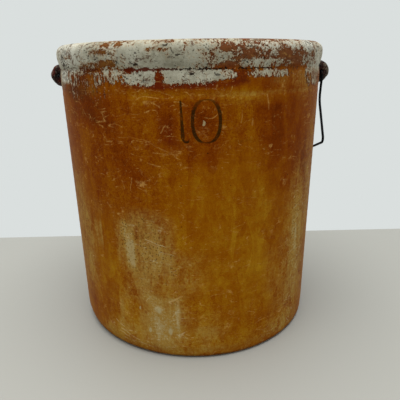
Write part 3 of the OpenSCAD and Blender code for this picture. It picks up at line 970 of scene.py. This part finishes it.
def bentPath(corners, bends, step):
    corners = [np.array(c, float) for c in corners]
    path = [corners[0]]
    for before, corner, after, bend in zip(corners, corners[1:], corners[2:], bends[1:]):
        into, out = (before - corner), (after - corner)
        into, out = into / np.linalg.norm(into), out / np.linalg.norm(out)
        half = math.acos(np.clip(into.dot(out), -1, 1)) / 2
        middle = corner + (into + out) / np.linalg.norm(into + out) * bend / math.sin(half)
        start, end = (corner + way * bend / math.tan(half) for way in (into, out))
        count = max(4, int(bend * (math.pi - 2 * half) / step * 2))
        first, last = (math.atan2(*(p - middle)[::-1]) for p in (start, end))
        swing = (last - first + math.pi) % (2 * math.pi) - math.pi
        turn = [first + swing * i / count for i in range(count + 1)]
        path += linePoints(path[-1], start, step)[1:-1]
        path += [middle + bend * np.array([math.cos(a), math.sin(a)]) for a in turn]
    path += linePoints(path[-1], corners[-1], step)[1:]
    return np.array([tuple(p) for p in path])


def bailMesh(shape, material):
    leg = shape["leg"]
    corners = [(-y, z) for (y, z), bend in leg[::-1]] + [shape["lowest"]] + [corner for corner, bend in leg]
    bends = [bend for corner, bend in leg[::-1]] + [shape["lowestBend"]] + [bend for corner, bend in leg]
    path = bentPath(corners, bends, shape["step"])
    sides = shape["sides"]
    along = np.gradient(path, axis=0)
    along /= np.linalg.norm(along, axis=1)[:, None]
    across = np.stack([-along[:, 1], along[:, 0]], 1)
    wire = shape["wire"] / 2
    points = []
    for (y, z), (acrossY, acrossZ) in zip(path, across):
        for k in range(sides):
            angle = 2 * math.pi * k / sides
            reach = wire * math.cos(angle)
            points.append((wire * math.sin(angle), y + reach * acrossY, z + reach * acrossZ))
    points = np.array(points)
    center = np.repeat(np.column_stack([np.zeros(len(path)), path]), sides, axis=0)
    hollow = latticeNoise(points, shape["unevenSize"], seed=21, layers=2)
    points -= (points - center) * (shape["unevenness"] * hollow)[:, None]
    points += [crockShape["wallRadius"] + shape["standOff"], 0, shape["pivotHeight"]]
    faces = ringFaces(len(path), sides, closed=True)
    return newPiece("wire_bail", points * mm, faces, material, "bail", "bail")


def bailMaterial(look):
    n = Nodes("blackened_wire")
    at = n.place()
    patch, grain = n.noise(at, 180, 5, 0.65), n.noise(at, 1200, 4, 0.7)
    skin = n.mix(n.step(grain, 0.4, 0.62), look["iron"], look["scale"])
    rust = n.step(n.add(patch, n.about(grain, 0.4)), 0.56, 0.74, 0.0, 0.7)
    skin = n.mix(rust, skin, look["rust"])
    rough = n.add(n.step(grain, 0.2, 0.8, *look["rough"]), n.times(rust, 0.25))
    return n.finish(Base_Color=skin, Roughness=rough, Specular_IOR_Level=look["gloss"],
                    Normal=n.bump(grain, *look["relief"]))


bail = bailMesh(bailShape, bailMaterial(bailLook))
print("bail:", len(bail.data.vertices), "points")

# floor, light and camera
stageLook = {
    "floor": paint(164, 163, 156), "floorRoughness": 0.6,
    "farEdge": 0.27, "nearEdge": -2.5, "halfWidth": 3.0,
    "sky": paint(218, 223, 222), "skyLight": 0.75,
    "lampPower": 62.0, "lampSize": 2.0, "lampPlace": (-0.1, -0.3, 2.3), "lampAim": (0, 0, 0.2),
}


def makeSky(look):
    world = bpy.data.worlds.new("soft_sky")
    world.use_nodes = True
    tree = world.node_tree
    tree.nodes.clear()
    lit, seen = (tree.nodes.new("ShaderNodeBackground") for _ in range(2))
    for node in (lit, seen):
        node.inputs["Color"].default_value = look["sky"]
    lit.inputs["Strength"].default_value = look["skyLight"]
    rays = tree.nodes.new("ShaderNodeLightPath").outputs
    direct = rays["Is Camera Ray"]
    for name in ("Is Glossy Ray", "Is Transmission Ray"):
        either = tree.nodes.new("ShaderNodeMath")
        either.operation = "MAXIMUM"
        tree.links.new(direct, either.inputs[0])
        tree.links.new(rays[name], either.inputs[1])
        direct = either.outputs[0]
    choose = tree.nodes.new("ShaderNodeMixShader")
    output = tree.nodes.new("ShaderNodeOutputWorld")
    for socket, source in zip(choose.inputs, (direct, lit.outputs[0], seen.outputs[0])):
        tree.links.new(source, socket)
    tree.links.new(choose.outputs[0], output.inputs["Surface"])
    bpy.context.scene.world = world


def makeStage(look):
    width, near, far = look["halfWidth"], look["nearEdge"], look["farEdge"]
    mesh = bpy.data.meshes.new("floor")
    corners = [(-width, near, 0), (width, near, 0), (width, far, 0), (-width, far, 0)]
    mesh.from_pydata(corners, [], [(0, 1, 2, 3)])
    floor = newObject("floor", mesh)
    pale = Nodes("pale_floor").finish(Base_Color=look["floor"], Roughness=look["floorRoughness"])
    mesh.materials.append(pale)

    lamp = bpy.data.lights.new("soft_lamp", "AREA")
    lamp.energy = look["lampPower"]
    lamp.size = look["lampSize"]
    holder = newObject("soft_lamp", lamp)
    holder.location = look["lampPlace"]
    aim = Vector(look["lampAim"]) - Vector(look["lampPlace"])
    holder.rotation_euler = aim.to_track_quat("-Z", "Y").to_euler()


# the photograph's camera, solved from the crock's outline: metres, degrees, and pixels of a 400 frame
cameraView = {
    "place": (0, -0.671, 0.3921), "yaw": 0.956, "pitch": 18.11, "roll": -0.936,
    "focal": 420.4, "frame": 400, "sensor": 36.0, "nearest": 0.01,
}


def makeCamera(view):
    yaw, pitch, roll = (math.radians(view[name]) for name in ("yaw", "pitch", "roll"))
    ahead = Vector((math.sin(yaw) * math.cos(pitch), math.cos(yaw) * math.cos(pitch), -math.sin(pitch)))
    right = Vector((math.cos(yaw), -math.sin(yaw), 0))
    up = right.cross(ahead)
    turnedRight = math.cos(roll) * right + math.sin(roll) * up
    turnedUp = math.cos(roll) * up - math.sin(roll) * right
    data = bpy.data.cameras.new("camera")
    data.sensor_width = view["sensor"]
    data.lens = view["focal"] / view["frame"] * view["sensor"]
    data.clip_start = view["nearest"]
    camera = newObject("camera", data)
    turn = Matrix((turnedRight, turnedUp, -ahead)).transposed().to_4x4()
    camera.matrix_world = Matrix.Translation(view["place"]) @ turn
    bpy.context.scene.camera = camera


makeSky(stageLook)
makeStage(stageLook)
makeCamera(cameraView)
bpy.context.scene.view_settings.view_transform = "Standard"
print("stage and camera set")
